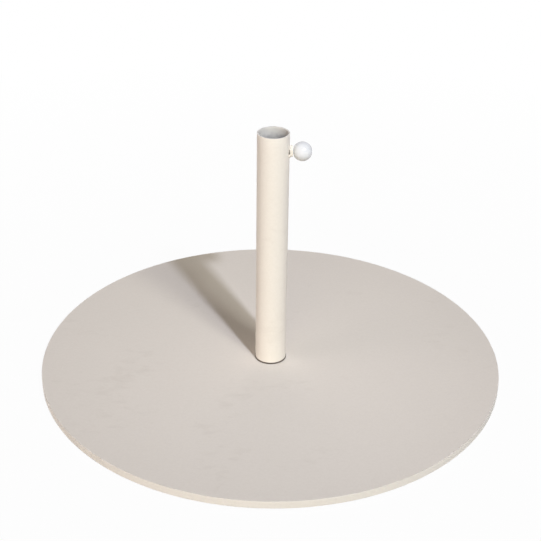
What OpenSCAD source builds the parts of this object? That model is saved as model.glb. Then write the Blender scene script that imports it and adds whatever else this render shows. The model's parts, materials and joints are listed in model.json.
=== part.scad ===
// Parasol base: a round steel plate with a bolted pole tube and a ball-knob clamp screw
// Millimetres. The origin is on the floor under the tube's axis, +Z points up, and +X points
// along the clamp screw, from the tube towards its knob.

/* [Base plate] */
// Diameter of the steel plate
plate_d = 600; // [400:10:900]
// Thickness of the steel plate
plate_t = 10; // [8:0.5:16]
// Radius of the plate's rounded rim edges
plate_edge_r = 1; // [0.5:0.25:3]

/* [Pole tube] */
// Outside diameter of the tube
tube_od = 40; // [36:1:60]
// Wall thickness of the tube
tube_wall = 2; // [1.5:0.1:3]
// Height of the tube's mouth above the plate
tube_rise = 320; // [200:10:500]
// Width of the chamfers on the tube's mouth
tube_lip = 0.5; // [0.2:0.05:0.7]

/* [Tube foot] */
// Thickness of the rubber ring under the tube
gasket_t = 2; // [1:0.25:4]
// How far the rubber ring stands out past the tube
gasket_proud = 0.5; // [0:0.25:2]
// Depth of the plug's seat in the tube's wall
plug_step = 0.4; // [0.3:0.05:0.8]
// Steel left above the plug's blind thread
plug_floor = 2.2; // [1:0.1:8]

/* [Fixing screw] */
// Thread diameter of the screw that holds the tube
fixing_d = 12; // [8:1:14]
// Diameter of its countersunk head
fixing_head_d = 24; // [20:0.5:27]
// How far the screw reaches into the plug
fixing_reach = 13; // [8:0.5:25]
// Chamfer on the screw's tip
fixing_tip = 1; // [0.5:0.25:2]
// Width across the flats of its hex socket
fixing_socket_af = 8; // [5:0.5:9]
// Depth of its hex socket
fixing_socket_depth = 4.5; // [3:0.5:6]
// How deep the head sits above the plate's underside
fixing_recess = 0.2; // [0:0.1:0.6]

/* [Clamp nut] */
// Distance of the clamp screw's axis below the tube's mouth
clamp_drop = 24; // [16:1:60]
// Thread diameter of the clamp screw
thread_d = 8; // [7:0.5:10]
// Width across the flats of the welded hex nut
nut_af = 13; // [12.5:0.5:17]
// Thickness of the nut
nut_h = 4; // [3:0.5:8]
// Root gap between the nut and the tube
nut_gap = 0.3; // [0.1:0.05:0.6]
// How far the welds spread past the nut's corners
weld_toe = 0.7; // [0.3:0.1:2]
// How far the welds climb the nut's sides
weld_climb = 2.7; // [1.5:0.1:2.9]
// Half of the upper weld's reach round the nut, in degrees
weld_upper_half = 50; // [35:1:85]
// Half of the lower weld's reach round the nut, in degrees
weld_lower_half = 70; // [35:1:85]

/* [Ball knob] */
// Diameter of the ball
ball_d = 24; // [20:0.5:40]
// Width of plastic round the insert on the ball's flat face
knob_face_rim = 1; // [0.5:0.1:3]
// Gap between the nut and the ball's face
knob_gap = 1.1; // [0.5:0.1:6]
// How far the stud reaches into the knob
knob_grip = 13; // [6:0.5:16]
// Wall of the threaded insert in the knob
insert_wall = 1.5; // [1:0.1:2.5]
// Brass left past the insert's blind thread
insert_floor = 1; // [0.5:0.25:2]
// Width of the groove that locks the insert in the ball
insert_groove_w = 2; // [1:0.25:3]
// Depth of that groove
insert_groove_depth = 0.4; // [0.2:0.05:0.8]

/* [Thrust pad] */
// Chamfer on the stud's tip
stud_tip = 0.8; // [0.4:0.1:1.2]
// Diameter of the pad on the stud's tip
pad_d = 6; // [4:0.25:7.5]
// Thickness of the pad
pad_t = 1.8; // [1:0.1:3]
// Diameter of the pad's stem
pad_stem_d = 3; // [2:0.25:3.75]
// Length of the pad's stem
pad_stem_len = 6; // [3:0.5:8]
// How far the pad stands out of the bore's wall
pad_reach = 0.2; // [0.1:0.05:0.2]

/* [Feet] */
// Number of rubber feet
foot_count = 6; // [3:1:8]
// Diameter of a foot where it is glued on
foot_d = 30; // [16:1:60]
// Height of a foot
foot_t = 3; // [2:0.5:8]
// How far a foot narrows towards the floor, on each side
foot_taper = 1; // [0:0.25:3]
// Distance of the feet's centres from the plate's rim
foot_inset = 50; // [35:1:120]

/* [Fits] */
// Radial clearance of a thread or a turning stem
running_clear = 0.05; // [0.02:0.01:0.1]
// Radial clearance of a piece that is welded, pressed or screwed home
seat_clear = 0.1; // [0.05:0.01:0.2]
// Radial clearance of a screw in a plain hole
hole_clear = 0.5; // [0.3:0.05:1]
// Room left past the end of a screw or stem in its blind hole
end_clear = 0.8; // [0.3:0.1:1.5]

/* [Hidden] */
$fn = 96;
HEX = 6;
CUT = 1;
FIXED_NODES = ["base_plate", "pole_tube", "tube_plug", "tube_gasket", "fixing_screw",
    "weld_nut", "nut_weld_upper", "nut_weld_lower", "thrust_pad", "clamp_stud",
    "knob_insert", "ball_knob"];
function foot_name(i) = str("foot_pad_", i);

COAT = "#efe6da";
STEEL = "#b9bcc0";
BRASS = "#c9a75a";
BALL = "#f4f4f6";
NYLON = "#dcd8cc";
RUBBER = "#33322f";

// Heights above the floor
plate_top_z = foot_t + plate_t;
tube_foot_z = plate_top_z + gasket_t;
plug_thread_h = fixing_reach + end_clear;
plug_h = plug_thread_h + plug_floor;
plug_top_z = tube_foot_z + plug_h;
mouth_z = plate_top_z + tube_rise;
clamp_z = mouth_z - clamp_drop;
fixing_z = foot_t + fixing_recess;
fixing_len = tube_foot_z + fixing_reach - fixing_z;

// Radii about the tube's axis
tube_r = tube_od / 2;
bore_r = tube_r - tube_wall;
plug_seat_r = bore_r + plug_step;
fixing_hole_d = fixing_d + 2 * hole_clear;
fixing_head_h = (fixing_head_d - fixing_d) / 2;

// Distances from the tube's axis along the clamp screw
pad_face_x = bore_r - pad_reach;
stud_tip_x = pad_face_x + pad_t;
nut_in_x = tube_r + nut_gap;
nut_out_x = nut_in_x + nut_h;
knob_face_x = nut_out_x + knob_gap;
stud_len = knob_face_x + knob_grip - stud_tip_x;

// The knob, measured from its flat face
thread_hole_d = thread_d + 2 * running_clear;
insert_r = thread_hole_d / 2 + insert_wall;
insert_thread_len = knob_grip + end_clear;
insert_len = insert_thread_len + insert_floor;
insert_groove_z = (insert_len - insert_groove_w) / 2;
ball_middle = sqrt(pow(ball_d / 2, 2) - pow(insert_r + knob_face_rim, 2));

// The nut: a 30 degree chamfer on its outer face cuts the corners back to a circle
nut_face_share = 0.95;
nut_corner_r = nut_af / 2 / cos(30);
nut_face_r = nut_face_share * nut_af / 2;
nut_chamfer_h = (nut_corner_r - nut_face_r) * tan(30);

// The welds: a cone round the nut, from inside the tube's skin to a thin edge on the nut's flats
weld_edge = 0.1;
weld_foot_r = nut_corner_r + weld_toe;
weld_top_r = nut_af / 2 + weld_edge;
weld_top_x = nut_in_x + weld_climb;
weld_slope = (weld_foot_r - weld_top_r) / (weld_top_x - tube_r);
weld_root_x = tube_r / 2;
weld_root_r = weld_foot_r + weld_slope * (tube_r - weld_root_x);

// A disc whose two rim edges are rounded
module rounded_disc(d, t, edge) {
    rotate_extrude() {
        square([d / 2 - edge, t]);
        translate([0, edge]) square([d / 2, t - 2 * edge]);
        for (z = [edge, t - edge]) translate([d / 2 - edge, z]) circle(edge);
    }
}

// Turns a shape that stands on +Z so that it lies along the clamp screw, starting at x
module on_clamp(x) {
    translate([x, 0, clamp_z]) rotate([0, 90, 0]) children();
}

// Steel plate with a countersunk hole for the fixing screw
module base_plate() {
    sink_d = fixing_head_d + 2 * (fixing_recess + seat_clear);
    sink_h = (sink_d - fixing_hole_d) / 2;
    color(COAT) translate([0, 0, foot_t]) difference() {
        rounded_disc(plate_d, plate_t, plate_edge_r);
        translate([0, 0, -CUT]) cylinder(d = fixing_hole_d, h = plate_t + 2 * CUT);
        cylinder(d1 = sink_d, d2 = fixing_hole_d, h = sink_h);
    }
}

// Tube with a chamfered mouth, a seat for the plug and a side hole for the clamp screw
module pole_tube() {
    color(COAT) difference() {
        rotate_extrude() polygon([
            [plug_seat_r, tube_foot_z],
            [tube_r, tube_foot_z],
            [tube_r, mouth_z - tube_lip],
            [tube_r - tube_lip, mouth_z],
            [bore_r + tube_lip, mouth_z],
            [bore_r, mouth_z - tube_lip],
            [bore_r, plug_top_z],
            [plug_seat_r, plug_top_z]
        ]);
        on_clamp(bore_r - CUT) cylinder(d = thread_d + 2 * hole_clear, h = tube_wall + 2 * CUT);
    }
}

// Steel plug welded into the tube's foot, with a blind thread for the fixing screw
module tube_plug() {
    color(STEEL) translate([0, 0, tube_foot_z]) difference() {
        cylinder(r = plug_seat_r - seat_clear, h = plug_h);
        translate([0, 0, -CUT]) cylinder(d = fixing_d + 2 * running_clear, h = plug_thread_h + CUT);
    }
}

// Rubber ring between the tube and the plate
module tube_gasket() {
    color(RUBBER) translate([0, 0, plate_top_z]) difference() {
        cylinder(d = tube_od + 2 * gasket_proud, h = gasket_t);
        translate([0, 0, -CUT]) cylinder(d = fixing_hole_d, h = gasket_t + 2 * CUT);
    }
}

// Countersunk socket screw, driven from below the plate into the plug
module fixing_screw() {
    color(STEEL) translate([0, 0, fixing_z]) difference() {
        union() {
            cylinder(d1 = fixing_head_d, d2 = fixing_d, h = fixing_head_h);
            cylinder(d = fixing_d, h = fixing_len - fixing_tip);
            translate([0, 0, fixing_len - fixing_tip])
                cylinder(d1 = fixing_d, d2 = fixing_d - 2 * fixing_tip, h = fixing_tip);
        }
        translate([0, 0, -CUT])
            cylinder(d = fixing_socket_af / cos(30), h = fixing_socket_depth + CUT, $fn = HEX);
    }
}

// The nut's plain hex bar, with two corners up and down
module nut_bar(h) {
    cylinder(r = nut_corner_r, h = h, $fn = HEX);
}

// Thin hex nut that is tacked to the tube
module weld_nut() {
    color(COAT) on_clamp(nut_in_x) difference() {
        intersection() {
            nut_bar(nut_h);
            rotate_extrude() polygon([
                [0, 0],
                [nut_corner_r + CUT, 0],
                [nut_corner_r + CUT, nut_h - nut_chamfer_h - CUT * tan(30)],
                [nut_face_r, nut_h],
                [0, nut_h]
            ]);
        }
        translate([0, 0, -CUT]) cylinder(d = thread_hole_d, h = nut_h + 2 * CUT);
    }
}

// Weld bead between the tube's skin and the nut's flats, reaching half degrees to each side of middle
module nut_weld(middle, half) {
    inner_r = thread_d / 2 + hole_clear;
    color(COAT) difference() {
        on_clamp(0) rotate([0, 0, middle - half]) rotate_extrude(angle = 2 * half) polygon([
            [inner_r, weld_root_x],
            [weld_root_r, weld_root_x],
            [weld_top_r, weld_top_x],
            [inner_r, weld_top_x]
        ]);
        on_clamp(nut_in_x) nut_bar(nut_h);
        translate([0, 0, clamp_z - 2 * nut_af]) cylinder(r = tube_r, h = 4 * nut_af);
    }
}

module nut_weld_upper() { nut_weld(180, weld_upper_half); }

module nut_weld_lower() { nut_weld(0, weld_lower_half); }

// Nylon pad with a stem in the stud's tip: it presses on the pole without turning
module thrust_pad() {
    color(NYLON) on_clamp(pad_face_x) {
        cylinder(d = pad_d, h = pad_t);
        cylinder(d = pad_stem_d, h = pad_t + pad_stem_len);
    }
}

// Threaded stud, drilled at its tip for the pad's stem
module clamp_stud() {
    color(STEEL) on_clamp(stud_tip_x) difference() {
        union() {
            cylinder(d1 = thread_d - 2 * stud_tip, d2 = thread_d, h = stud_tip);
            translate([0, 0, stud_tip]) cylinder(d = thread_d, h = stud_len - stud_tip);
        }
        translate([0, 0, -CUT])
            cylinder(d = pad_stem_d + 2 * running_clear, h = pad_stem_len + end_clear + CUT);
    }
}

// Half section of the threaded insert, with the groove that the ball's plastic fills
module insert_section(grow) {
    difference() {
        square([insert_r + grow, insert_len + grow]);
        translate([insert_r + grow - insert_groove_depth, insert_groove_z + grow])
            square([insert_groove_depth + CUT, insert_groove_w - 2 * grow]);
    }
}

// Brass bush moulded into the knob, with a blind thread for the stud
module knob_insert() {
    color(BRASS) on_clamp(knob_face_x) rotate_extrude() difference() {
        insert_section(0);
        translate([0, -CUT]) square([thread_hole_d / 2, insert_thread_len + CUT]);
    }
}

// Plastic ball with a flat face towards the nut
module ball_knob() {
    color(BALL) on_clamp(knob_face_x) rotate_extrude() difference() {
        intersection() {
            translate([0, ball_middle]) circle(d = ball_d);
            square([ball_d, 2 * ball_d]);
        }
        translate([0, -CUT]) square([insert_r + running_clear, 2 * CUT]);
        insert_section(running_clear);
    }
}

// Rubber foot i, glued under the plate
module foot_pad(i) {
    color(RUBBER) rotate([0, 0, (i - 0.5) * 360 / foot_count])
        translate([plate_d / 2 - foot_inset, 0, 0])
            cylinder(d1 = foot_d - 2 * foot_taper, d2 = foot_d, h = foot_t);
}

base_plate();
pole_tube();
tube_plug();
tube_gasket();
fixing_screw();
weld_nut();
nut_weld_upper();
nut_weld_lower();
thrust_pad();
clamp_stud();
knob_insert();
ball_knob();
for (i = [1 : foot_count]) {
    foot_pad(i);
}
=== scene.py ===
# %% [markdown]
# # A parasol base, piece by piece
#
# A parasol base of this kind is a round steel plate with an upright tube. The pole drops into the
# tube, and a screw with a ball knob clamps it. The construction comes from a finished CAD model.
# This lesson models every piece again at the same size and place, with the soft edges, the weld
# beads and the thread that the eye expects, and gives each one the finish of its real material.

# %% Load the CAD model
import json
import math

import bmesh
import bpy
from mathutils import Matrix, Vector


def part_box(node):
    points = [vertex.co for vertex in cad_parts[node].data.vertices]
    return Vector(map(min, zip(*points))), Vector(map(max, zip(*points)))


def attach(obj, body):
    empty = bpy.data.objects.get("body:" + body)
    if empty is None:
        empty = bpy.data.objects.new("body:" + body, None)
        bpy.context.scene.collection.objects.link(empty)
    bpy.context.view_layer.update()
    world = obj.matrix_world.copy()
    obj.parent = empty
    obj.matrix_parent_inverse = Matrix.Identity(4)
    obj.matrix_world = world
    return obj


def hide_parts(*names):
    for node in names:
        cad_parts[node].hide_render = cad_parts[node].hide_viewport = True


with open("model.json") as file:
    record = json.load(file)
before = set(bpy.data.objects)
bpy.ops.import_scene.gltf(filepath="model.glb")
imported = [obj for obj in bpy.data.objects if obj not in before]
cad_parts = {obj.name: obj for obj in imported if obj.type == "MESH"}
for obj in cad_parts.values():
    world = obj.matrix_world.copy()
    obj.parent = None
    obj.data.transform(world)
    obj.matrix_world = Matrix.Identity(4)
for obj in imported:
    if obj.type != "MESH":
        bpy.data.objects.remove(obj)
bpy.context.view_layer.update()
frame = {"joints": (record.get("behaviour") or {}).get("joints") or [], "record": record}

# %% [markdown]
# ## Sizes
#
# Nothing is measured twice: the boxes of the CAD nodes, the socket's mount and the clamp's hinge
# give nearly all sizes. Blender works in metres, and a workshop drawing in millimetres, so one
# name turns millimetres to metres.

# %% Read the main sizes
MM = 0.001
mounts = {mount["name"]: mount for mount in frame["record"]["mounts"]}
joints = {joint["name"]: joint for joint in frame["joints"]}
plate_low, plate_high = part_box("base_plate")
tube_low, tube_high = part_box("pole_tube")
plug_low, plug_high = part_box("tube_plug")
ring_low, ring_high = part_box("tube_gasket")
screw_low, screw_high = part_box("fixing_screw")
nut_low, nut_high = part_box("weld_nut")
stud_low, stud_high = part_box("clamp_stud")
bush_low, bush_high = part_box("knob_insert")
ball_low, ball_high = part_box("ball_knob")
pad_low, pad_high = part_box("thrust_pad")
plate_r = plate_high.x
tube_r = tube_high.x
bore_r = mounts["pole_socket"]["dims"]["r_mm"] * MM
clamp_z = joints["clamp_turn"]["pos_m"][2]
print("plate radius %.4f, tube radius %.4f, clamp height %.4f" % (plate_r, tube_r, clamp_z))

# %% [markdown]
# ## Working by hand, in code
#
# Blender's operators act on whatever is selected, so each step first says what it works on. These
# few helpers do what a hand does with the mouse: take one object, open its mesh, pick faces or
# edges by where they lie, seal the mesh and shade it. Points closer than TINY count as one, a face
# looks along an axis when its normal's share along that axis passes FACING, and ROUND_PROFILE makes
# a bevel a quarter circle.

# %% Helpers for picking and shaping
TINY = 0.002 * MM
FACING = 0.99
ROUND_PROFILE = 0.5
PARTS = {"verts": "VERT", "edges": "EDGE", "faces": "FACE"}


def take(piece):
    """Selects this object alone and makes it the active one."""
    bpy.ops.object.select_all(action="DESELECT")
    piece.select_set(True)
    bpy.context.view_layer.objects.active = piece


def settle(name):
    """Names the object that was just added, and puts its place and turn into its mesh."""
    piece = bpy.context.object
    piece.name = name
    piece.data.name = name
    take(piece)
    bpy.ops.object.transform_apply(location=True, rotation=True, scale=True)
    return piece


def pick(part, test):
    """In edit mode, selects only the vertices, edges or faces that pass the test."""
    bpy.ops.mesh.select_all(action="DESELECT")
    bpy.ops.mesh.select_mode(type=PARTS[part])
    mesh = bmesh.from_edit_mesh(bpy.context.edit_object.data)
    chosen = [item for item in getattr(mesh, part) if test(item)]
    for item in chosen:
        item.select_set(True)
    mesh.select_flush_mode()
    bmesh.update_edit_mesh(bpy.context.edit_object.data)


def seal():
    """In edit mode, merges points on the same spot and turns every face outwards."""
    bpy.ops.mesh.select_all(action="SELECT")
    bpy.ops.mesh.remove_doubles(threshold=TINY)
    bpy.ops.mesh.normals_make_consistent(inside=False)


def finish_piece(piece, smooth_below=35):
    """Shades edges smooth below an angle in degrees, and says how large the mesh is."""
    take(piece)
    bpy.ops.object.shade_smooth_by_angle(angle=math.radians(smooth_below))
    mesh = piece.data
    mesh.calc_loop_triangles()
    print(piece.name, len(mesh.vertices), "vertices,", len(mesh.loop_triangles), "triangles")


print("helpers ready")

# %% [markdown]
# ## The round plate
#
# The plate is cut from 10 mm sheet steel and its rim is broken by hand before coating. It could be
# spun from a section, but a cylinder whose two rim circles get a bevel is quicker and gives the
# same soft rim. A narrow inset just inside the bevel keeps the wide faces shaded flat. From below,
# an inset with a depth sinks the cone for the screw's head, and a bridge opens the hole.

# %% Model the plate
PLATE_SIDES = 320
RIM_STEPS = 5
rim_round = 0.4 * MM
flat_guard = 0.4 * MM
fixing_hole_r = 6.5 * MM
sink_r = 12.3 * MM
plate_t = plate_high.z - plate_low.z
plate_mid = (plate_high + plate_low) / 2

bpy.ops.object.select_all(action="DESELECT")
bpy.ops.mesh.primitive_cylinder_add(
    vertices=PLATE_SIDES, radius=plate_r, depth=plate_t, location=plate_mid)
plate = settle("round_plate")
bpy.ops.object.mode_set(mode="EDIT")
pick("edges", lambda e: abs(e.verts[0].co.z - e.verts[1].co.z) < TINY)
bpy.ops.mesh.bevel(offset=rim_round, segments=RIM_STEPS, profile=ROUND_PROFILE, affect="EDGES")

pick("faces", lambda f: f.normal.z > FACING and len(f.verts) == PLATE_SIDES)
bpy.ops.mesh.inset(thickness=flat_guard)
bpy.ops.mesh.inset(thickness=plate_r - rim_round - flat_guard - fixing_hole_r)

pick("faces", lambda f: f.normal.z < -FACING and len(f.verts) == PLATE_SIDES)
bpy.ops.mesh.inset(thickness=flat_guard)
bpy.ops.mesh.inset(thickness=plate_r - rim_round - flat_guard - sink_r)
bpy.ops.mesh.inset(thickness=sink_r - fixing_hole_r, depth=fixing_hole_r - sink_r)

pick("faces", lambda f: len(f.verts) == PLATE_SIDES)
bpy.ops.mesh.bridge_edge_loops()
seal()
bpy.ops.object.mode_set(mode="OBJECT")
finish_piece(plate)

# %% [markdown]
# ## Turned pieces
#
# Tube, plug, ring, pad, bush, screw and feet are all round about one axis. A turner would read
# them from a half section, so that is how they are drawn: a single point is extruded from corner
# to corner, chosen corners are rounded by a vertex bevel, and the line is spun a full turn. One
# function serves the upright axis of the tube and the lying axis of the clamp screw.

# %% Helper that draws a half section and spins it
ROUND_STEPS = 4
TURN_STEPS = 96
SMALL_STEPS = 64


def on_tube(radius, height):
    """A point of a half section about the tube's upright axis."""
    return Vector((radius, 0, height))


def on_clamp(radius, along):
    """A point of a half section about the clamp screw's lying axis."""
    return Vector((along, 0, clamp_z + radius))


def turn(name, place, section, rounds=(), closed=True, steps=TURN_STEPS):
    """Spins a half section. Rounds are pairs of a corner's number and its radius.

    Closed joins the last corner to the first. A section that starts and ends on the axis needs
    no such edge.
    """
    points = [place(*corner) for corner in section]
    bpy.ops.object.select_all(action="DESELECT")
    bpy.ops.mesh.primitive_plane_add(size=MM, location=points[0])
    piece = settle(name)
    bpy.ops.object.mode_set(mode="EDIT")
    bpy.ops.mesh.select_mode(type="VERT")
    bpy.ops.mesh.select_all(action="SELECT")
    bpy.ops.mesh.merge(type="CENTER")
    for here, there in zip(points, points[1:]):
        bpy.ops.mesh.extrude_region_move(TRANSFORM_OT_translate={"value": there - here})
    if closed:
        ends = (points[0], points[-1])
        pick("verts", lambda v: min((v.co - end).length for end in ends) < TINY)
        bpy.ops.mesh.edge_face_add()
    for number, radius in rounds:
        pick("verts", lambda v: (v.co - points[number]).length < TINY)
        bpy.ops.mesh.bevel(
            offset=radius, segments=ROUND_STEPS, profile=ROUND_PROFILE, affect="VERTICES")
    bpy.ops.mesh.select_all(action="SELECT")
    centre = place(0, 0)
    axis = place(0, 1) - centre
    bpy.ops.mesh.spin(steps=steps, angle=math.tau, center=centre, axis=axis)
    seal()
    bpy.ops.object.mode_set(mode="OBJECT")
    return piece


print("turning helper ready")

# %% [markdown]
# ## The pole tube
#
# The tube is seamed steel tube, 40 by 2 mm, cut off square, and its mouth is deburred inside and
# out. Its foot is bored a little wider to seat the plug. Two extra corners each side of the clamp
# keep the cut of the side hole away from the long smooth walls. The hole itself is cut with a
# Boolean, because a round hole in a curved wall has no simple edge loop.

# %% Model the tube
TUBE_STEPS = 160
HOLE_SIDES = 64
mouth_round = 0.3 * MM
plug_clear = 0.1 * MM
seat_r = plug_high.x + plug_clear
side_hole_r = 4.5 * MM
guard = 10 * MM
drill_length = 10 * MM


def carve(piece, cutter, operation):
    """Cuts one object with another and takes the cutter away."""
    take(piece)
    modifier = piece.modifiers.new(operation.lower(), "BOOLEAN")
    modifier.operation = operation
    modifier.object = cutter
    modifier.solver = "EXACT"
    bpy.ops.object.modifier_apply(modifier=modifier.name)
    bpy.data.objects.remove(cutter, do_unlink=True)


tube = turn("socket_tube", on_tube, [
    (seat_r, tube_low.z),
    (tube_r, tube_low.z),
    (tube_r, clamp_z - guard),
    (tube_r, clamp_z + guard),
    (tube_r, tube_high.z),
    (bore_r, tube_high.z),
    (bore_r, clamp_z + guard),
    (bore_r, clamp_z - guard),
    (bore_r, plug_high.z),
    (seat_r, plug_high.z),
], rounds=[(4, mouth_round), (5, mouth_round)], steps=TUBE_STEPS)

bpy.ops.object.select_all(action="DESELECT")
bpy.ops.mesh.primitive_cylinder_add(
    vertices=HOLE_SIDES, radius=side_hole_r, depth=drill_length, rotation=(0, math.pi / 2, 0),
    location=((tube_r + bore_r) / 2, 0, clamp_z))
carve(tube, settle("side_hole"), "DIFFERENCE")
finish_piece(tube)

# %% [markdown]
# ## Plug, ring and fixing screw
#
# These hold the tube on the plate. A turned plug sits in the tube's foot, a countersunk socket
# screw pulls it down from below, and a rubber ring between tube and plate keeps rust streaks off
# the coat. From above only the dark ring and, deep in the tube, the plug's top show.

# %% Model the foot of the tube
thread_hole_r = 6.05 * MM
end_clear = 0.8 * MM
thread_hole_top = screw_high.z + end_clear
plug_chamfer = 0.6 * MM
plug = turn("turned_plug", on_tube, [
    (0, plug_high.z),
    (plug_high.x, plug_high.z),
    (plug_high.x, plug_low.z),
    (thread_hole_r, plug_low.z),
    (thread_hole_r, thread_hole_top),
    (0, thread_hole_top),
], rounds=[(1, plug_chamfer), (3, plug_chamfer)], closed=False)
finish_piece(plug)

RING_STEPS = 128
ring_round = 0.25 * MM
ring = turn("rubber_ring", on_tube, [
    (fixing_hole_r, ring_low.z),
    (ring_high.x, ring_low.z),
    (ring_high.x, ring_high.z),
    (fixing_hole_r, ring_high.z),
], rounds=[(1, ring_round), (2, ring_round)], steps=RING_STEPS)
finish_piece(ring)

# %% Model the countersunk screw
HEX_SIDES = 6
HALF_SIXTH = math.radians(30)
shank_r = 6.0 * MM
tip_chamfer = 1.0 * MM
head_edge = 0.3 * MM
socket_flats = 8.0 * MM
socket_r = socket_flats / 2 / math.cos(HALF_SIXTH)
socket_depth = 4.5 * MM
head_r = screw_high.x
fixing = turn("countersunk_screw", on_tube, [
    (0, screw_low.z),
    (head_r, screw_low.z),
    (shank_r, screw_low.z + head_r - shank_r),
    (shank_r, screw_high.z - tip_chamfer),
    (shank_r - tip_chamfer, screw_high.z),
    (0, screw_high.z),
], rounds=[(1, head_edge)], closed=False)

bpy.ops.object.select_all(action="DESELECT")
bpy.ops.mesh.primitive_cylinder_add(
    vertices=HEX_SIDES, radius=socket_r, depth=2 * socket_depth, location=(0, 0, screw_low.z))
carve(fixing, settle("hex_socket"), "DIFFERENCE")
finish_piece(fixing)

# %% [markdown]
# ## Rubber feet
#
# Six moulded feet are glued under the plate. They taper a little towards the floor, as moulded
# rubber does so that it leaves its mould, and their lower edge is rounded. One is modelled and
# copied to the places of the others.

# %% Model one foot and copy it
FOOT_COUNT = 6
foot_nodes = ["foot_pad_%d" % (i + 1) for i in range(FOOT_COUNT)]
foot_taper = 1.0 * MM
foot_edge = 0.7 * MM


def middle(node):
    """The middle of a CAD node's box."""
    low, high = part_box(node)
    return (low + high) / 2


foot_low, foot_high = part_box(foot_nodes[0])
foot_r = (foot_high.x - foot_low.x) / 2
foot_master = turn("rubber_foot_1", on_tube, [
    (0, foot_high.z),
    (foot_r, foot_high.z),
    (foot_r - foot_taper, foot_low.z),
    (0, foot_low.z),
], rounds=[(2, foot_edge)], closed=False, steps=SMALL_STEPS)
finish_piece(foot_master)

feet = [foot_master]
for i in range(1, FOOT_COUNT):
    take(foot_master)
    bpy.ops.object.duplicate()
    feet.append(settle("rubber_foot_%d" % (i + 1)))
for foot, node in zip(feet, foot_nodes):
    spot = middle(node)
    take(foot)
    bpy.ops.transform.translate(value=(spot.x, spot.y, 0))
    bpy.ops.object.transform_apply(location=True, rotation=True, scale=True)
print("feet", len(feet))

# %% [markdown]
# ## The welded nut
#
# A thin hex nut is tacked to the tube before coating, with two corners up and down. It starts as a
# six-sided cylinder. A turned ring gives it, in one cut, the thread's hole and the slanted chamfer
# that real nuts have on their corners. A bevel then softens every edge, as a layer of coat does.

# %% Model the nut
FACE_SHARE = 0.95
SOFT_STEPS = 3
SHARP_ANGLE = math.radians(25)
nut_corner_r = nut_high.y / math.cos(HALF_SIXTH)
nut_mid = Vector(((nut_low.x + nut_high.x) / 2, 0, clamp_z))
nut_h = nut_high.x - nut_low.x
nut_face_r = FACE_SHARE * nut_high.y
nut_bore_r = 4.05 * MM
bore_mouth = 0.6 * MM
coat_softness = 0.3 * MM
spare = 1.0 * MM
chamfer_slope = math.tan(math.radians(30))


def soften(piece, width):
    """Rounds every sharp edge with a Bevel modifier and applies it."""
    take(piece)
    modifier = piece.modifiers.new("soft_edges", "BEVEL")
    modifier.width = width
    modifier.segments = SOFT_STEPS
    modifier.limit_method = "ANGLE"
    modifier.angle_limit = SHARP_ANGLE
    modifier.use_clamp_overlap = True
    bpy.ops.object.modifier_apply(modifier=modifier.name)


bpy.ops.object.select_all(action="DESELECT")
bpy.ops.mesh.primitive_cylinder_add(
    vertices=HEX_SIDES, radius=nut_corner_r, depth=nut_h, rotation=(0, 0, HALF_SIXTH))
nut = settle("hex_nut")
nut.rotation_euler = (0, math.pi / 2, 0)
nut.location = nut_mid
bpy.ops.object.transform_apply(location=True, rotation=True, scale=True)
outer_r = nut_corner_r + spare
chamfered = turn("nut_chamfer", on_clamp, [
    (nut_bore_r, nut_low.x - spare),
    (outer_r, nut_low.x - spare),
    (outer_r, nut_high.x - (outer_r - nut_face_r) * chamfer_slope),
    (nut_face_r, nut_high.x),
    (nut_bore_r, nut_high.x),
], rounds=[(4, bore_mouth)])
carve(nut, chamfered, "INTERSECT")
soften(nut, coat_softness)
finish_piece(nut)

# %% [markdown]
# ## Weld beads
#
# A welder lays a bead as a row of small pools that freeze one over the other, which leaves ripples.
# So each bead is built the same way: one drop is copied along the corner between the nut's edge
# and the tube's round skin, every second one a little smaller and the last ones at both ends
# smaller still, and a voxel remesh melts the row into a single skin. A few rounds of smoothing
# stand for the coat over it.

# %% Model the two beads
DROP_SPACING = 0.6 * MM
DROP_FINENESS = 3
VOXEL = 0.14 * MM
SMOOTH_FACTOR = 0.5
SMOOTH_ROUNDS = 6
drop_r = 1.35 * MM
ripple = 0.1
end_size = 0.6
end_growth = 0.15
upper_half = math.radians(48)
lower_half = math.radians(68)


def nut_edge(angle):
    """Distance of the nut's six-sided outline from its axis, at an angle from straight up."""
    from_corner = (angle + HALF_SIXTH) % (2 * HALF_SIXTH) - HALF_SIXTH
    return nut_high.y / math.cos(HALF_SIXTH - abs(from_corner))


def drop_place(angle):
    """Where a drop sits: on the nut's outline, halfway from the tube's skin to the nut."""
    reach = nut_edge(angle)
    side = reach * math.sin(angle)
    skin = math.sqrt(tube_r ** 2 - side ** 2)
    return Vector(((skin + nut_low.x) / 2, side, clamp_z + reach * math.cos(angle)))


def lay_bead(name, centre, half):
    """Lays drops as far as the half angle both ways from the centre, and melts them together."""
    count = round(2 * half * nut_corner_r / DROP_SPACING) + 1
    bpy.ops.object.select_all(action="DESELECT")
    bpy.ops.mesh.primitive_ico_sphere_add(subdivisions=DROP_FINENESS, radius=drop_r)
    drop = settle(name)
    drops = [drop]
    for _ in range(1, count):
        take(drop)
        bpy.ops.object.duplicate()
        drops.append(bpy.context.object)
    for i, each in enumerate(drops):
        each.location = drop_place(centre - half + 2 * half * i / (count - 1))
        from_end = min(i, count - 1 - i)
        run_out = min(1.0, end_size + end_growth * from_end)
        each.scale = (run_out - ripple * (i % 2),) * 3
    take(drop)
    for each in drops:
        each.select_set(True)
    bpy.ops.object.join()
    bead = settle(name)
    for kind, settings in (
        ("REMESH", {"mode": "VOXEL", "voxel_size": VOXEL}),
        ("SMOOTH", {"factor": SMOOTH_FACTOR, "iterations": SMOOTH_ROUNDS}),
    ):
        modifier = bead.modifiers.new(kind.lower(), kind)
        for key, value in settings.items():
            setattr(modifier, key, value)
        bpy.ops.object.modifier_apply(modifier=modifier.name)
    finish_piece(bead, smooth_below=180)
    return bead


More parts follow.
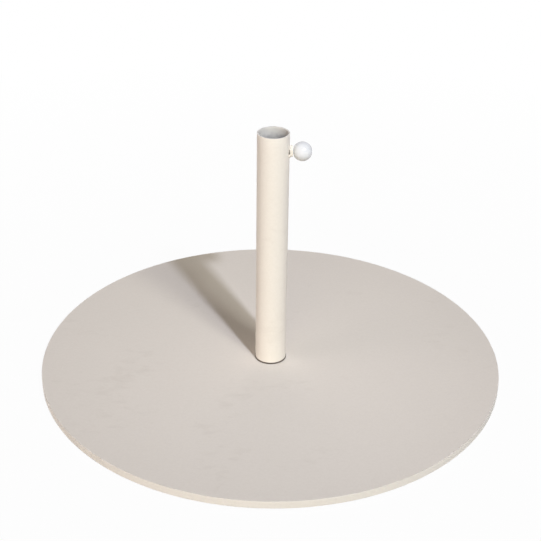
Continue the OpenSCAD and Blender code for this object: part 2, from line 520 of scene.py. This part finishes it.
upper_bead = lay_bead("upper_bead", 0, upper_half)
lower_bead = lay_bead("lower_bead", math.pi, lower_half)

# %% [markdown]
# ## The threaded stud
#
# The clamp screw is a length of M8 stud. A painted-on thread would look flat as soon as the knob is
# turned out, so the thread is real: one pitch of its outline is drawn and wound up by a Screw
# modifier, and two bisects cut the ends square. A turned blank, chamfered at the tip and drilled
# for the pad's stem, trims the rest. The thread is rolled, so next to the ball the stud keeps the
# plain shank that it was rolled from. As in any metric thread, the crest is an eighth of the pitch,
# the root a quarter, and the flanks stand at 60 degrees to the axis.

# %% Wind the thread
THREAD_PITCH = 1.25 * MM
THREAD_STEPS = 40
LEAD_IN_TURNS = 2.3
SPARE_TURNS = 2
stud_r = stud_high.y
shank_show = 0.4 * MM
crest = THREAD_PITCH / 8
root = THREAD_PITCH / 4
flank = (THREAD_PITCH - crest - root) / 2
thread_depth = flank * math.tan(math.radians(60))
wound_from = stud_low.x - LEAD_IN_TURNS * THREAD_PITCH
thread_end = nut_high.x - shank_show
wound_turns = math.ceil((thread_end - wound_from) / THREAD_PITCH) + SPARE_TURNS
outline = [
    (0, stud_r),
    (crest, stud_r),
    (crest + flank, stud_r - thread_depth),
    (crest + flank + root, stud_r - thread_depth),
    (THREAD_PITCH, stud_r),
]

bpy.ops.object.select_all(action="DESELECT")
bpy.ops.mesh.primitive_plane_add(size=MM, location=(0, 0, 0))
stud = settle("threaded_stud")
bpy.ops.object.mode_set(mode="EDIT")
bpy.ops.mesh.select_mode(type="VERT")
bpy.ops.mesh.select_all(action="SELECT")
bpy.ops.mesh.merge(type="CENTER")
bpy.ops.transform.translate(value=(wound_from, 0, stud_r))
for (x, r), (next_x, next_r) in zip(outline, outline[1:]):
    bpy.ops.mesh.extrude_region_move(
        TRANSFORM_OT_translate={"value": (next_x - x, 0, next_r - r)})
bpy.ops.object.mode_set(mode="OBJECT")
winding = stud.modifiers.new("winding", "SCREW")
winding.axis = "X"
winding.screw_offset = THREAD_PITCH
winding.iterations = wound_turns
winding.steps = THREAD_STEPS
winding.render_steps = THREAD_STEPS
winding.use_merge_vertices = True
winding.merge_threshold = TINY
bpy.ops.object.modifier_apply(modifier=winding.name)
stud.location = (0, 0, clamp_z)
bpy.ops.object.transform_apply(location=True, rotation=True, scale=True)
print("thread turns", wound_turns, "depth %.3f mm" % (thread_depth / MM))

# %% Cut the stud to length and trim it
CUT_THRESHOLD = 1e-8
SHANK_OVERLAP_TURNS = 2
stud_tip = 0.8 * MM
stem_hole_r = 1.55 * MM
stem_hole_end = pad_high.x + end_clear
shank_round = 0.3 * MM
shank_start = thread_end - SHANK_OVERLAP_TURNS * THREAD_PITCH
blank_shank_r = stud_r - thread_depth / 2
bpy.ops.object.mode_set(mode="EDIT")
seal()
for end, keep_low in ((stud_low.x, False), (thread_end, True)):
    bpy.ops.mesh.select_all(action="SELECT")
    bpy.ops.mesh.bisect(
        plane_co=(end, 0, clamp_z), plane_no=(1, 0, 0), use_fill=True, threshold=CUT_THRESHOLD,
        clear_inner=not keep_low, clear_outer=keep_low)
seal()
bpy.ops.object.mode_set(mode="OBJECT")
blank = turn("stud_blank", on_clamp, [
    (stem_hole_r, stud_low.x - TINY),
    (stud_r - stud_tip, stud_low.x - TINY),
    (stud_r + spare, stud_low.x + stud_tip + spare),
    (stud_r + spare, stud_high.x + spare),
    (0, stud_high.x + spare),
    (0, stem_hole_end),
    (stem_hole_r, stem_hole_end),
], steps=SMALL_STEPS)
carve(stud, blank, "INTERSECT")
shank = turn("stud_shank", on_clamp, [
    (0, shank_start),
    (blank_shank_r, shank_start),
    (blank_shank_r, stud_high.x),
    (0, stud_high.x),
], rounds=[(2, shank_round)], closed=False, steps=SMALL_STEPS)
carve(stud, shank, "UNION")
finish_piece(stud, smooth_below=30)

# %% [markdown]
# ## Pad, bush and ball
#
# On the stud's tip a nylon pad presses on the pole without turning. At the other end the stud is
# screwed into a brass bush that is moulded into the ball. The ball starts as a sphere whose poles
# lie on the screw's axis. A bisect cuts its flat, a small bevel softens the flat's rim, and an
# inset and an extrusion make room for the bush.

# %% Model the pad and the bush
pad_t = 1.8 * MM
stem_r = 1.5 * MM
pad_front_edge = 0.4 * MM
pad_back_edge = 0.2 * MM
stem_edge = 0.3 * MM
pad = turn("nylon_pad", on_clamp, [
    (0, pad_low.x),
    (pad_high.y, pad_low.x),
    (pad_high.y, pad_low.x + pad_t),
    (stem_r, pad_low.x + pad_t),
    (stem_r, pad_high.x),
    (0, pad_high.x),
], rounds=[
    (1, pad_front_edge),
    (2, pad_back_edge),
    (4, stem_edge),
], closed=False, steps=SMALL_STEPS)
finish_piece(pad)

bush_r = bush_high.y
bush_hole_r = 4.05 * MM
bush_floor = 1.0 * MM
bush_hole_end = bush_high.x - bush_floor
bush_mouth = 0.5 * MM
bush_front_edge = 0.15 * MM
bush_back_edge = 0.4 * MM
groove_w = 2.0 * MM
groove_depth = 0.4 * MM
groove_r = bush_r - groove_depth
groove_mid = (bush_low.x + bush_high.x) / 2
bush = turn("brass_bush", on_clamp, [
    (0, bush_hole_end),
    (bush_hole_r, bush_hole_end),
    (bush_hole_r, bush_low.x),
    (bush_r, bush_low.x),
    (bush_r, groove_mid - groove_w / 2),
    (groove_r, groove_mid - groove_w / 2),
    (groove_r, groove_mid + groove_w / 2),
    (bush_r, groove_mid + groove_w / 2),
    (bush_r, bush_high.x),
    (0, bush_high.x),
], rounds=[
    (2, bush_mouth),
    (3, bush_front_edge),
    (8, bush_back_edge),
], closed=False, steps=SMALL_STEPS)
finish_piece(bush)

# %% Model the ball
BALL_SEGMENTS = 96
FACE_STEPS = 3
ball_r = ball_high.y
ball_mid = Vector((ball_high.x - ball_r, 0, clamp_z))
ball_face_r = math.sqrt(ball_r ** 2 - (ball_mid.x - ball_low.x) ** 2)
face_round = 0.25 * MM
bush_clear = 0.05 * MM


def on_face(vertex):
    """True for a vertex on the ball's flat face."""
    return abs(vertex.co.x - ball_low.x) < TINY


bpy.ops.object.select_all(action="DESELECT")
bpy.ops.mesh.primitive_uv_sphere_add(
    segments=BALL_SEGMENTS, ring_count=BALL_SEGMENTS // 2, radius=ball_r,
    location=ball_mid, rotation=(0, math.pi / 2, 0))
ball = settle("ball")
bpy.ops.object.mode_set(mode="EDIT")
bpy.ops.mesh.select_all(action="SELECT")
bpy.ops.mesh.bisect(
    plane_co=(ball_low.x, 0, clamp_z), plane_no=(1, 0, 0), use_fill=True, clear_inner=True)
pick("edges", lambda e: all(on_face(v) for v in e.verts))
bpy.ops.mesh.bevel(offset=face_round, segments=FACE_STEPS, profile=ROUND_PROFILE, affect="EDGES")
pick("faces", lambda f: f.normal.x < -FACING and len(f.verts) == BALL_SEGMENTS)
bpy.ops.mesh.inset(thickness=ball_face_r - face_round - bush_r - bush_clear)
bpy.ops.mesh.extrude_region_move(
    TRANSFORM_OT_translate={"value": (bush_high.x - bush_low.x + bush_clear, 0, 0)})
seal()
bpy.ops.object.mode_set(mode="OBJECT")
finish_piece(ball)

# %% [markdown]
# ## Finishes
#
# Every material starts from what it is and how its surface was made. Colours are written as sRGB
# hex codes, the way a paint chart gives them, and one function turns them to the linear values
# that Blender computes with. Patterns are laid out in Object coordinates, so a millimetre on the
# piece is a millimetre in the pattern, and one function adds a node with its settings and links.

# %% Helpers for materials


def colour(code):
    """Turns an sRGB hex code into a linear colour with full opacity, by the standard's curve."""
    parts = [int(code[i:i + 2], 16) / 255 for i in (1, 3, 5)]
    linear = [p / 12.92 if p <= 0.04045 else ((p + 0.055) / 1.055) ** 2.4 for p in parts]
    return (*linear, 1.0)


def add(owner, kind, settings=None, links=None):
    """Adds a node. Settings are input values or properties, and links feed its inputs.

    A Mix node has one set of inputs for each kind of data, so they go by number: 0 is the
    factor, 2 and 3 mix numbers into output 0, and 6 and 7 mix colours into output 2.
    """
    tree = owner.node_tree
    node = tree.nodes.new("ShaderNode" + kind)
    for key, value in (settings or {}).items():
        if isinstance(key, int) or key in node.inputs:
            node.inputs[key].default_value = value
        else:
            setattr(node, key, value)
    for key, socket in (links or {}).items():
        tree.links.new(socket, node.inputs[key])
    return node


def new_material(name):
    """An empty material, with its Object coordinates."""
    material = bpy.data.materials.new(name)
    material.use_nodes = True
    material.node_tree.nodes.clear()
    return material, add(material, "TexCoord").outputs["Object"]


def surface(material, settings, links):
    """Ends a material in one Principled shader."""
    shader = add(material, "BsdfPrincipled", settings, links)
    add(material, "OutputMaterial", links={"Surface": shader.outputs[0]})


def per_mm(size):
    """Scale of a noise whose lumps are about this many millimetres across."""
    return 1 / (size * MM)


print("material helpers ready")

# %% [markdown]
# ## Cream powder coat
#
# Plate, tube, nut and welds wear one coat of polyester powder, baked to a satin skin. It levels
# less well than wet paint, which leaves a faint orange peel about 2 mm across, drawn a little
# coarser here so that it shows. The skin's gloss drifts slightly over a hand's width, and its
# colour is faintly mottled. Handling has left a few short scuffs that only show in a second look:
# a fine noise gives them their shape, and a large one gathers them in a few places.

# %% Powder coat


def powder_coat(name, tone, light_tone, scuff_tone):
    """Baked polyester powder: a satin sheen broken by a soft orange peel, with faint scuffs."""
    material, place = new_material(name)
    drift = add(material, "TexNoise", {"Scale": per_mm(90), "Detail": 3.0}, {"Vector": place})
    peel = add(material, "TexNoise", {"Scale": per_mm(2.6), "Detail": 2.0}, {"Vector": place})
    mottle = add(material, "TexNoise", {"Scale": per_mm(3), "Detail": 3.0}, {"Vector": place})
    shade = add(material, "Mix", {0: 0.7}, {2: drift.outputs["Fac"], 3: mottle.outputs["Fac"]})
    tint = add(material, "Mix", {"data_type": "RGBA", 6: colour(tone), 7: colour(light_tone)},
               {0: shade.outputs[0]})
    sideways = add(material, "Mapping", {"Scale": (0.5, 1, 1)}, {"Vector": place})
    rub = add(material, "TexNoise", {"Scale": per_mm(11), "Detail": 4.0, "Distortion": 0.6},
              {"Vector": sideways.outputs[0]})
    moved = add(material, "Mapping", {"Location": (350 * MM, 30 * MM, 0)}, {"Vector": place})
    handled = add(material, "TexNoise", {"Scale": per_mm(110), "Detail": 1.0},
                  {"Vector": moved.outputs[0]})
    both = add(material, "Mix", {0: 0.5}, {2: rub.outputs["Fac"], 3: handled.outputs["Fac"]})
    scuff = add(material, "MapRange", {"From Min": 0.583, "From Max": 0.72, "To Max": 0.17},
                {"Value": both.outputs[0]})
    worn = add(material, "Mix", {"data_type": "RGBA", 7: colour(scuff_tone)},
               {0: scuff.outputs[0], 6: tint.outputs[2]})
    gloss = add(material, "MapRange", {
        "From Min": 0.3, "From Max": 0.7, "To Min": 0.42, "To Max": 0.5},
        {"Value": drift.outputs["Fac"]})
    bump = add(material, "Bump", {"Strength": 0.3, "Distance": 0.25 * MM},
               {"Height": peel.outputs["Fac"]})
    surface(material, {"IOR": 1.5}, {
        "Base Color": worn.outputs[2], "Roughness": gloss.outputs[0], "Normal": bump.outputs[0]})
    return material


coat = powder_coat(
    "cream powder coat", tone="#e7dfd4", light_tone="#f1eae0", scuff_tone="#c9beb1")
print("made", coat.name)

# %% [markdown]
# ## Metals
#
# Powder flies only about one diameter into a tube, so the coat thins out below the mouth and the
# rest stays drawn steel, grey and a bit streaky along its length. The fade from the pale mist to
# the grey steel is also painted shade: the bore is made darker with depth, where less light gets
# in. The plug is turned, so its top carries fine rings. The screws are zinc plated, and the bush
# is brass.

# %% Drawn steel inside the tube
mist_and_shade_foot = tube_high.z - 22 * MM
mist_and_shade_top = tube_high.z - 1 * MM
mist_and_shade_waver = 14 * MM


def drawn_tube_steel(name):
    """Drawn steel: grey, streaky metal under a thinning mist of powder, and painted shade with
    depth.
    """
    material, place = new_material(name)
    along = add(material, "Mapping", {"Scale": (1, 1, 0.05)}, {"Vector": place})
    streak = add(material, "TexNoise", {"Scale": per_mm(3), "Detail": 4.0},
                 {"Vector": along.outputs[0]})
    blotch = add(material, "TexNoise", {"Scale": per_mm(6), "Detail": 3.0}, {"Vector": place})
    steel = add(material, "Mix", {"data_type": "RGBA", 6: colour("#747478"), 7: colour("#909094")},
                {0: streak.outputs["Fac"]})
    height = add(material, "SeparateXYZ", links={0: place})
    wavering = add(material, "Math", {"operation": "MULTIPLY_ADD", 1: mist_and_shade_waver},
                   {0: blotch.outputs["Fac"], 2: height.outputs["Z"]})
    # Painted shade: the pale mist fades to grey steel with depth, so the bore darkens where light
    # reaches less.
    mist_and_shade = add(material, "MapRange", {"From Min": mist_and_shade_foot, "From Max": mist_and_shade_top},
               {"Value": wavering.outputs[0]})
    skin = add(material, "Mix", {"data_type": "RGBA", 7: colour("#dad7d1")},
               {0: mist_and_shade.outputs[0], 6: steel.outputs[2]})
    metal = add(material, "MapRange", {"To Min": 0.4, "To Max": 0.0}, {"Value": mist_and_shade.outputs[0]})
    bump = add(material, "Bump", {"Strength": 0.15, "Distance": 0.1 * MM},
               {"Height": streak.outputs["Fac"]})
    surface(material, {"Roughness": 0.45}, {
        "Base Color": skin.outputs[2], "Metallic": metal.outputs[0], "Normal": bump.outputs[0]})
    return material


tube_inside = drawn_tube_steel("drawn tube steel")
print("made", tube_inside.name)

# %% Turned and plated metals
# A Wave node runs 20 radians for each unit of its scale, so a ring is tau feeds wide. That is
# coarser than the tool's real marks, so that they show.
WAVE_RADIANS = 20


def machined_metal(name, dark, light, rough, centre, lying, feed_mm):
    """Turned metal: bright, with fine rings left by the tool about the piece's axis."""
    material, place = new_material(name)
    turned = add(material, "Mapping", {
        "vector_type": "TEXTURE", "Location": centre,
        "Rotation": (0, math.pi / 2 if lying else 0, 0)}, {"Vector": place})
    rings = add(material, "TexWave", {
        "wave_type": "RINGS", "rings_direction": "Z", "Scale": per_mm(feed_mm) / WAVE_RADIANS,
        "Distortion": 0.4, "Detail": 2.0}, {"Vector": turned.outputs[0]})
    cloud = add(material, "TexNoise", {"Scale": per_mm(4), "Detail": 4.0}, {"Vector": place})
    tint = add(material, "Mix", {"data_type": "RGBA", 6: colour(dark), 7: colour(light)},
               {0: cloud.outputs["Fac"]})
    gloss = add(material, "MapRange", {"To Min": rough - 0.06, "To Max": rough + 0.08},
                {"Value": cloud.outputs["Fac"]})
    bump = add(material, "Bump", {"Strength": 0.2, "Distance": 0.05 * MM},
               {"Height": rings.outputs["Fac"]})
    surface(material, {"Metallic": 1.0}, {
        "Base Color": tint.outputs[2], "Roughness": gloss.outputs[0], "Normal": bump.outputs[0]})
    return material


on_axis = (0, 0, clamp_z)
turned_steel = machined_metal(
    "turned steel", "#8b8c8e", "#a9abad",
    rough=0.38, centre=(0, 0, 0), lying=False, feed_mm=0.5)
zinc_upright = machined_metal(
    "zinc plated screw", "#c4c9cd", "#dfe3e6",
    rough=0.3, centre=(0, 0, 0), lying=False, feed_mm=0.8)
zinc_lying = machined_metal(
    "zinc plated stud", "#c4c9cd", "#dfe3e6",
    rough=0.3, centre=on_axis, lying=True, feed_mm=0.8)
brass = machined_metal(
    "turned brass", "#b08d45", "#d3b268",
    rough=0.3, centre=on_axis, lying=True, feed_mm=0.4)
print("made", turned_steel.name, zinc_upright.name, zinc_lying.name, brass.name)

# %% [markdown]
# ## Plastics and rubber
#
# The ball is a polished thermoset moulding in a cooler white than the coat: hard and glossy, with
# hardly any texture. The pad is natural nylon, a milky, slightly see-through ivory. Ring and feet
# are black moulded rubber, dull and a little dusty.

# %% Ball plastic, nylon and rubber


def moulded(name, dark, light, patch_mm, rough, grain_mm, grain, extra=None):
    """A moulded surface: one body colour that clouds a little, with a fine mould grain."""
    material, place = new_material(name)
    cloud = add(material, "TexNoise", {"Scale": per_mm(patch_mm), "Detail": 2.0},
                {"Vector": place})
    speck = add(material, "TexNoise", {"Scale": per_mm(grain_mm), "Detail": 3.0},
                {"Vector": place})
    tint = add(material, "Mix", {"data_type": "RGBA", 6: colour(dark), 7: colour(light)},
               {0: cloud.outputs["Fac"]})
    gloss = add(material, "MapRange", {"To Min": rough - 0.04, "To Max": rough + 0.04},
                {"Value": speck.outputs["Fac"]})
    bump = add(material, "Bump", {"Strength": grain, "Distance": 0.1 * MM},
               {"Height": speck.outputs["Fac"]})
    surface(material, {"IOR": 1.5, **(extra or {})}, {
        "Base Color": tint.outputs[2], "Roughness": gloss.outputs[0], "Normal": bump.outputs[0]})
    return material


ball_plastic = moulded(
    "polished white plastic", "#e2e3e5", "#e8e8ea",
    patch_mm=12, rough=0.2, grain_mm=1.5, grain=0.02)
nylon = moulded(
    "natural nylon", "#d9d3c2", "#e6e1d3",
    patch_mm=3, rough=0.45, grain_mm=0.6, grain=0.1,
    extra={"Subsurface Weight": 0.15, "Subsurface Scale": 1 * MM})
rubber = moulded(
    "dusty black rubber", "#4c433b", "#63584e",
    patch_mm=8, rough=0.7, grain_mm=0.7, grain=0.25)
print("made", ball_plastic.name, nylon.name, rubber.name)

# %% [markdown]
# ## Dressing the pieces
#
# Each piece now gets its finish, rides on the CAD body that carries it, and stands in for the CAD
# node of the same piece. The tube is the only one with two finishes: its bore and its cut end are
# the steel that only a mist of powder reached, made darker with depth as painted shade. Those faces
# are picked by their distance from the axis.

# %% Assign finishes and bodies


def dress(piece, material, body, node, slot):
    """Gives a piece its finish and its body, and hides the CAD node it stands for. The slot is not
    used.
    """
    piece.data.materials.clear()
    piece.data.materials.append(material)
    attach(piece, body)
    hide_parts(node)


for row in (
    (plate, coat, "stand", "base_plate", "powder_coat"),
    (tube, coat, "stand", "pole_tube", "powder_coat"),
    (plug, turned_steel, "stand", "tube_plug", "bare_steel"),
    (ring, rubber, "stand", "tube_gasket", "rubber"),
    (fixing, zinc_upright, "stand", "fixing_screw", "zinc_plated_steel"),
    (nut, coat, "stand", "weld_nut", "powder_coat"),
    (upper_bead, coat, "stand", "nut_weld_upper", "powder_coat"),
    (lower_bead, coat, "stand", "nut_weld_lower", "powder_coat"),
    (pad, nylon, "thrust_pad", "thrust_pad", "nylon"),
    (stud, zinc_lying, "clamp_screw", "clamp_stud", "zinc_plated_steel"),
    (bush, brass, "clamp_screw", "knob_insert", "brass"),
    (ball, ball_plastic, "clamp_screw", "ball_knob", "ball_plastic"),
):
    dress(*row)
for foot, node in zip(feet, foot_nodes):
    dress(foot, rubber, "stand", node, "rubber")

tube.data.materials.append(tube_inside)
inside_slot = tube.data.materials.find(tube_inside.name)
bare = 0
for face in tube.data.polygons:
    if math.hypot(face.center.x, face.center.y) < tube_r - mouth_round:
        face.material_index = inside_slot
        bare += 1
print("bare faces in the tube", bare)

# %% [markdown]
# ## Camera
#
# The photograph looks down at 33 degrees from 1.7 m. The camera first looks at the middle of the
# plate's underside, and is then turned a little, as a photographer frames the tall tube.

# %% Place the camera
VIEW_DISTANCE = 1.683
VIEW_ELEVATION = math.radians(33.27)
FOCAL_PIXELS = 1259
IMAGE_PIXELS = 541
SENSOR_WIDTH = 36
TURNS = (("Y", 0.0514), ("X", 4.157), ("Z", 0.78))

camera_data = bpy.data.cameras.new("camera")
camera = bpy.data.objects.new("camera", camera_data)
bpy.context.scene.collection.objects.link(camera)
bpy.context.scene.camera = camera
camera_data.sensor_width = SENSOR_WIDTH
camera_data.lens = FOCAL_PIXELS / IMAGE_PIXELS * SENSOR_WIDTH
aim = Vector((0, 0, plate_low.z))
back = Vector((0, -math.cos(VIEW_ELEVATION), math.sin(VIEW_ELEVATION)))
look = Matrix.Rotation(math.pi / 2 - VIEW_ELEVATION, 4, "X")
for axis, degrees in TURNS:
    look = look @ Matrix.Rotation(math.radians(degrees), 4, axis)
camera.matrix_world = Matrix.Translation(aim + back * VIEW_DISTANCE) @ look
print("camera at", [round(v, 3) for v in camera.matrix_world.translation])

# %% [markdown]
# ## Light
#
# The shadows tell where the lamps stood: a small key lamp to the right of the camera, 44 degrees
# up, and a larger, weaker one further right and further off. Their beams are brightest at the tube
# and fall off towards the rim. Low strips of wall in front and to the left fill the tube's sides,
# and a pale wall behind lightens the shadows. The camera, and mirrors, see plain white behind the
# object.

# %% Lamps
BEAM_RADIUS = 0.88
tube_mouth = Vector((0, 0, tube_high.z))


def heading(azimuth, elevation):
    """A unit vector: azimuth is from +X towards +Y, and elevation is upwards, in degrees."""
    a = math.radians(azimuth)
    e = math.radians(elevation)
    return Vector((math.cos(a) * math.cos(e), math.sin(a) * math.cos(e), math.sin(e)))


def lamp(name, azimuth, elevation, distance, width, watts, tone):
    """A lamp aimed at the tube's mouth. Width is how many degrees wide it looks from there."""
    data = bpy.data.lights.new(name, "SPOT")
    data.energy = watts
    data.color = colour(tone)[:3]
    data.spot_size = 2 * math.atan(BEAM_RADIUS / distance)
    data.spot_blend = 1.0
    data.shadow_soft_size = distance * math.tan(math.radians(width) / 2)
    spot = bpy.data.objects.new(name, data)
    bpy.context.scene.collection.objects.link(spot)
    spot.location = tube_mouth + heading(azimuth, elevation) * distance
    spot.rotation_euler = heading(azimuth, elevation).to_track_quat("Z", "Y").to_euler()
    return spot


key = lamp(
    "key", azimuth=-63.7, elevation=43.5, distance=2.7, width=3.5, watts=192, tone="#e7edff")
second = lamp(
    "second", azimuth=-54.6, elevation=44.3, distance=3.9, width=12, watts=205, tone="#fefff8")
print("lamps", key.name, second.name)

# %% White room
world = bpy.data.worlds.new("white room")
bpy.context.scene.world = world
world.use_nodes = True
world.node_tree.nodes.clear()
direction = add(world, "TexCoord").outputs["Generated"]


def soft_wall(azimuth, elevation, tightness, strength, tone):
    """Light from a wall about one direction. More tightness makes it a narrower patch."""
    facing = add(world, "VectorMath", {"operation": "DOT_PRODUCT", 1: heading(azimuth, elevation)},
                 {0: direction})
    ahead = add(world, "Math", {"operation": "MAXIMUM", 1: 0.0}, {0: facing.outputs["Value"]})
    fading = add(world, "Math", {"operation": "POWER", 1: tightness}, {0: ahead.outputs[0]})
    level = add(world, "Math", {"operation": "MULTIPLY", 1: strength}, {0: fading.outputs[0]})
    glow = add(world, "Background", {"Color": colour(tone)}, {"Strength": level.outputs[0]})
    return glow.outputs[0]


def seen_directly(owner):
    """1 for camera, mirror and glass rays, which see the white background, and 0 for others."""
    path = add(owner, "LightPath")
    either = add(owner, "Math", {"operation": "MAXIMUM"}, {
        0: path.outputs["Is Camera Ray"], 1: path.outputs["Is Glossy Ray"]})
    seen = add(owner, "Math", {"operation": "MAXIMUM"}, {
        0: either.outputs[0], 1: path.outputs["Is Transmission Ray"]})
    return seen.outputs[0]


front = soft_wall(azimuth=-100, elevation=5, tightness=24, strength=5.8, tone="#fff9d7")
left = soft_wall(azimuth=-160, elevation=5, tightness=24, strength=5.06, tone="#ffedf3")
behind = soft_wall(azimuth=90, elevation=8, tightness=6, strength=1.65, tone="#ffebd9")
strips = add(world, "AddShader", links={0: front, 1: left})
room = add(world, "AddShader", links={0: strips.outputs[0], 1: behind})
white = add(world, "Background", {"Color": colour("#ffffff"), "Strength": 1.0})
backdrop = add(world, "MixShader", links={
    0: seen_directly(world), 1: room.outputs[0], 2: white.outputs[0]})
add(world, "OutputWorld", links={"Surface": backdrop.outputs[0]})
print("world", world.name)

# %% [markdown]
# ## Floor
#
# The floor is a white sheet. It bounces light up like paper, and the camera sees it nearly as
# bright as the background, with only a breath of the object's shadow left on it. Further out even
# that fades, so the floor has no visible end.

# %% Lay the floor
FLOOR_SIZE = 12.0
SHADOW_SHARE = 0.045
SHADOW_REACH = 1.2
bpy.ops.object.select_all(action="DESELECT")
bpy.ops.mesh.primitive_plane_add(size=FLOOR_SIZE, location=(0, 0, 0))
floor = settle("floor")
paper, paper_place = new_material("white paper floor")
fibre = add(paper, "TexNoise", {"Scale": per_mm(300), "Detail": 2.0}, {"Vector": paper_place})
sheet_tint = add(paper, "Mix", {"data_type": "RGBA", 6: colour("#d9d9d9"), 7: colour("#dfdfdf")},
                 {0: fibre.outputs["Fac"]})
matt = add(paper, "BsdfDiffuse", links={"Color": sheet_tint.outputs[2]})
glow = add(paper, "Emission", {"Color": colour("#ffffff"), "Strength": 1.0})
around = add(paper, "Mapping", {"Scale": (1 / SHADOW_REACH,) * 3}, {"Vector": paper_place})
near = add(paper, "TexGradient", {"gradient_type": "SPHERICAL"}, {"Vector": around.outputs[0]})
shown = add(paper, "Math", {"operation": "MULTIPLY_ADD", 1: -SHADOW_SHARE, 2: 1.0},
            {0: near.outputs["Fac"]})
share = add(paper, "Math", {"operation": "MULTIPLY"}, {
    0: seen_directly(paper), 1: shown.outputs[0]})
blend = add(paper, "MixShader", links={
    0: share.outputs[0], 1: matt.outputs[0], 2: glow.outputs[0]})
add(paper, "OutputMaterial", links={"Surface": blend.outputs[0]})
floor.data.materials.append(paper)
print("floor", FLOOR_SIZE, "m wide")

# %% [markdown]
# ## View transform
#
# The view transform stays plain, so a colour renders about as it is written.

# %% Set the view transform
bpy.context.scene.view_settings.view_transform = "Standard"
